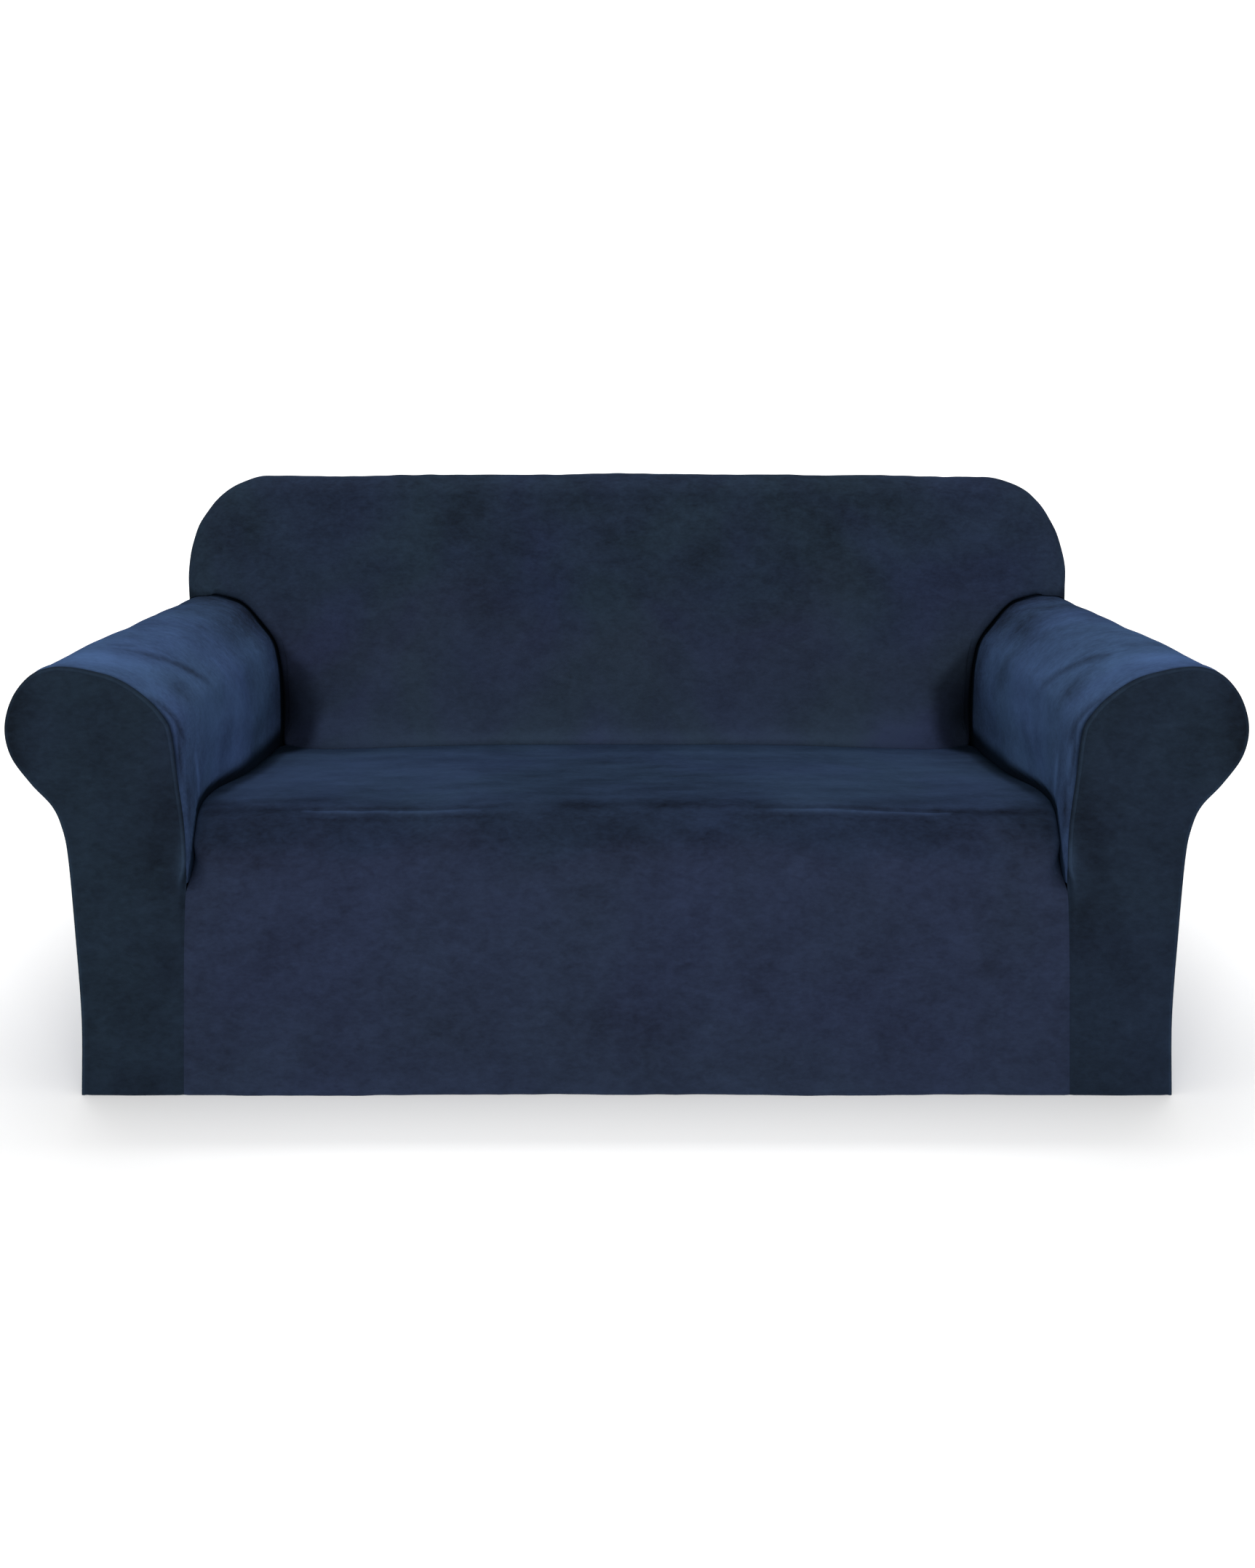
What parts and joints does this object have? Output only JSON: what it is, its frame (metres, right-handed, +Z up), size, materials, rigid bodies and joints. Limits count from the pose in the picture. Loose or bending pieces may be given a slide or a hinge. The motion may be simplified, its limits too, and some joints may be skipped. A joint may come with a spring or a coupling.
{
  "type": "fitted sofa slipcover",
  "caption": "Stretch velvet slipcover fitted over a two-seat sofa with rolled arms: seat and skirt, inside back, rear panel, arms and scroll-shaped arm fronts.",
  "frame": {"origin": "centre of the footprint at the level of the hems, where the sofa stands on the floor", "axes": "+X along the width, to the right as seen from the front; +Y from the front of the arms to the rear panel; +Z up from the hems to the top of the back"},
  "size_m": [1.8018, 0.88, 0.844],
  "materials": {
    "velvet": "dark navy velvet, soft short pile that shades lighter and darker with its direction"
  },
  "bodies": {
    "root": {"seat_skirt": "velvet", "inside_back": "velvet", "outside_back": "velvet", "arm_left": "velvet", "arm_right": "velvet", "arm_front_left": "velvet", "arm_front_right": "velvet"}
  },
  "joints": []
}
